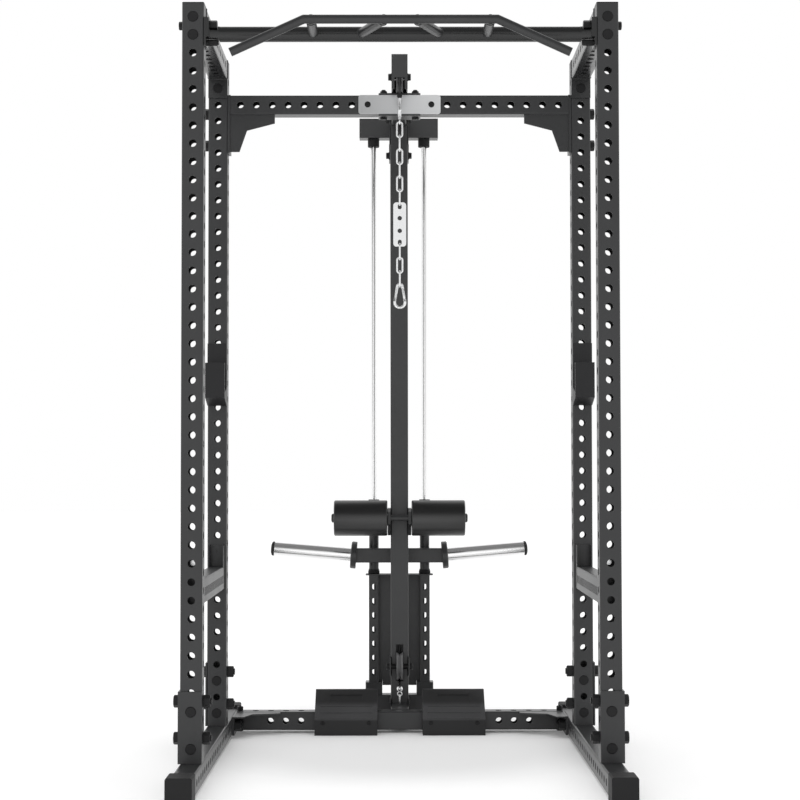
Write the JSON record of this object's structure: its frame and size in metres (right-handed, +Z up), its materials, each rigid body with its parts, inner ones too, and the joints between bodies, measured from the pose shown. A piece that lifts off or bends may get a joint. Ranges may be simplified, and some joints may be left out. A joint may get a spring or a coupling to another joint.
{
  "type": "power cage",
  "caption": "Power cage of drilled square tube with pull-up bars, bar cups, safety bars and a plate-loaded pulldown and row tower with knee rollers and foot plates.",
  "frame": {"origin": "on the floor, in the middle of the footprint", "axes": "+Z up, +X to the right seen from the front, -Y towards the front of the cage; the tower is at +Y"},
  "size_m": [1.24, 1.819, 2.154],
  "materials": {
    "coat": "satin powder coat",
    "rubber": "matte",
    "zinc": "bright zinc plate",
    "chrome": "polished",
    "nylon": "matte",
    "foam": "skinned foam",
    "plate": "satin"
  },
  "bodies": {
    "frame": {"base_rails": "coat", "end_caps": "rubber", "upright_front_left": "coat", "upright_front_right": "coat", "uprights_rear": "coat", "foot_brackets": "coat", "frame_bolts": "coat", "top_rails": "coat", "top_flanges": "coat", "rear_crossmember": "coat", "name_plate": "plate", "button_screws": "coat", "straight_pull_up_bar": "coat", "multi_grip_bar": "coat", "pull_up_brackets": "coat", "small_bolts": "coat", "floor_crossmember": "coat", "tower_base": "coat", "mast": "coat", "top_boom": "coat", "boom_clamp": "coat", "crosshead": "coat", "guide_channels": "coat", "channel_plates": "coat", "shroud_panel": "coat", "guide_rods": "chrome", "rod_bumpers": "rubber", "pulley_axles": "coat", "knee_bracket": "coat", "foot_plates": "coat", "cable_over_top": "rubber", "cable_in_mast": "rubber", "row_end": "zinc", "safety_bars": "coat"},
    "lat_end": {"cable_end": "zinc", "front_cable_drop": "rubber"},
    "chain": {"chain": "zinc", "chain_tag": "zinc", "carabiner": "zinc"},
    "gate": {"carabiner_gate": "zinc"},
    "row_hook": {"row_hook": "zinc"},
    "front_pulley": {"front_top_pulley": "nylon"},
    "crosshead_pulley": {"crosshead_pulley": "nylon"},
    "mast_pulley": {"mast_top_pulley": "nylon"},
    "row_pulley": {"row_pulley": "nylon"},
    "carriage": {"carriage_frame": "coat", "carriage_cable_loop": "rubber", "carriage_bushings": "nylon", "plate_horns": "chrome", "horn_collars": "coat", "horn_caps": "rubber", "lat_fall": "rubber", "row_fall": "rubber"},
    "carriage_pulley": {"carriage_pulley": "nylon"},
    "knee_roller_left": {"knee_roller_left": "foam"},
    "knee_roller_right": {"knee_roller_right": "foam"},
    "j_cup_left": {"j_cup_left": "nylon"},
    "j_cup_right": {"j_cup_right": "nylon"},
    "safety_pin_left": {"safety_pin_left": "zinc"},
    "safety_pin_right": {"safety_pin_right": "zinc"}
  },
  "joints": [
    {"name": "carriage_slide", "type": "slide", "parent": "frame", "child": "carriage", "axis": [0, 0, 1], "range_m": [0, 0.6], "deforming": ["lat_fall", "row_fall"]},
    {"name": "pulldown_end", "type": "slide", "parent": "frame", "child": "lat_end", "axis": [0, 0, -1], "range_m": [0, 1.2], "deforming": ["front_cable_drop"]},
    {"name": "chain_swivel", "type": "hinge", "parent": "lat_end", "child": "chain", "pos_m": [0, 0.0225, 1.9445], "axis": [0, 0, 1], "continuous": true},
    {"name": "carabiner_gate_hinge", "type": "hinge", "parent": "chain", "child": "gate", "pos_m": [0.01397, 0.0225, 1.39456], "axis": [0, -1, 0], "range_deg": [0, 18], "stiffness_Nm_per_rad": 0.05, "springref_deg": -11.46},
    {"name": "row_hook_swing", "type": "hinge", "parent": "frame", "child": "row_hook", "pos_m": [0, 0.57121, 0.10039], "axis": [-1, 0, 0], "range_deg": [-5, 80]},
    {"name": "front_pulley_spin", "type": "hinge", "parent": "frame", "child": "front_pulley", "pos_m": [0, 0.0665, 2.093], "axis": [1, 0, 0], "range_deg": [0, 1570]},
    {"name": "crosshead_pulley_spin", "type": "hinge", "parent": "frame", "child": "crosshead_pulley", "pos_m": [0, 0.7815, 2.093], "axis": [1, 0, 0], "range_deg": [0, 1570]},
    {"name": "carriage_pulley_spin", "type": "hinge", "parent": "carriage", "child": "carriage_pulley", "pos_m": [0, 0.7815, 0.6503], "axis": [1, 0, 0], "range_deg": [0, 785]},
    {"name": "mast_pulley_spin", "type": "hinge", "parent": "frame", "child": "mast_pulley", "pos_m": [0, 0.6935, 1.955], "axis": [1, 0, 0], "continuous": true},
    {"name": "row_pulley_spin", "type": "hinge", "parent": "frame", "child": "row_pulley", "pos_m": [0, 0.6055, 0.195], "axis": [1, 0, 0], "continuous": true},
    {"name": "knee_roller_left_spin", "type": "hinge", "parent": "frame", "child": "knee_roller_left", "pos_m": [-0.13, 0.5615, 0.7], "axis": [1, 0, 0], "continuous": true},
    {"name": "knee_roller_right_spin", "type": "hinge", "parent": "frame", "child": "knee_roller_right", "pos_m": [0.13, 0.5615, 0.7], "axis": [1, 0, 0], "continuous": true},
    {"name": "j_cup_left_pull", "type": "slide", "parent": "frame", "child": "j_cup_left", "axis": [0, -1, 0], "range_m": [0, 0.09]},
    {"name": "j_cup_right_pull", "type": "slide", "parent": "frame", "child": "j_cup_right", "axis": [0, -1, 0], "range_m": [0, 0.09]},
    {"name": "safety_pin_left_pull", "type": "slide", "parent": "frame", "child": "safety_pin_left", "axis": [0, 1, 0], "range_m": [0, 0.025], "stiffness_N_per_m": 400, "springref_m": -0.01},
    {"name": "safety_pin_right_pull", "type": "slide", "parent": "frame", "child": "safety_pin_right", "axis": [0, 1, 0], "range_m": [0, 0.025], "stiffness_N_per_m": 400, "springref_m": -0.01}
  ],
  "couplings": [
    {"joint": "pulldown_end", "follows": "carriage_slide", "ratio": 2},
    {"joint": "front_pulley_spin", "follows": "carriage_slide", "rad_per_m": 45.455},
    {"joint": "crosshead_pulley_spin", "follows": "carriage_slide", "rad_per_m": 45.455},
    {"joint": "carriage_pulley_spin", "follows": "carriage_slide", "rad_per_m": 22.727}
  ]
}
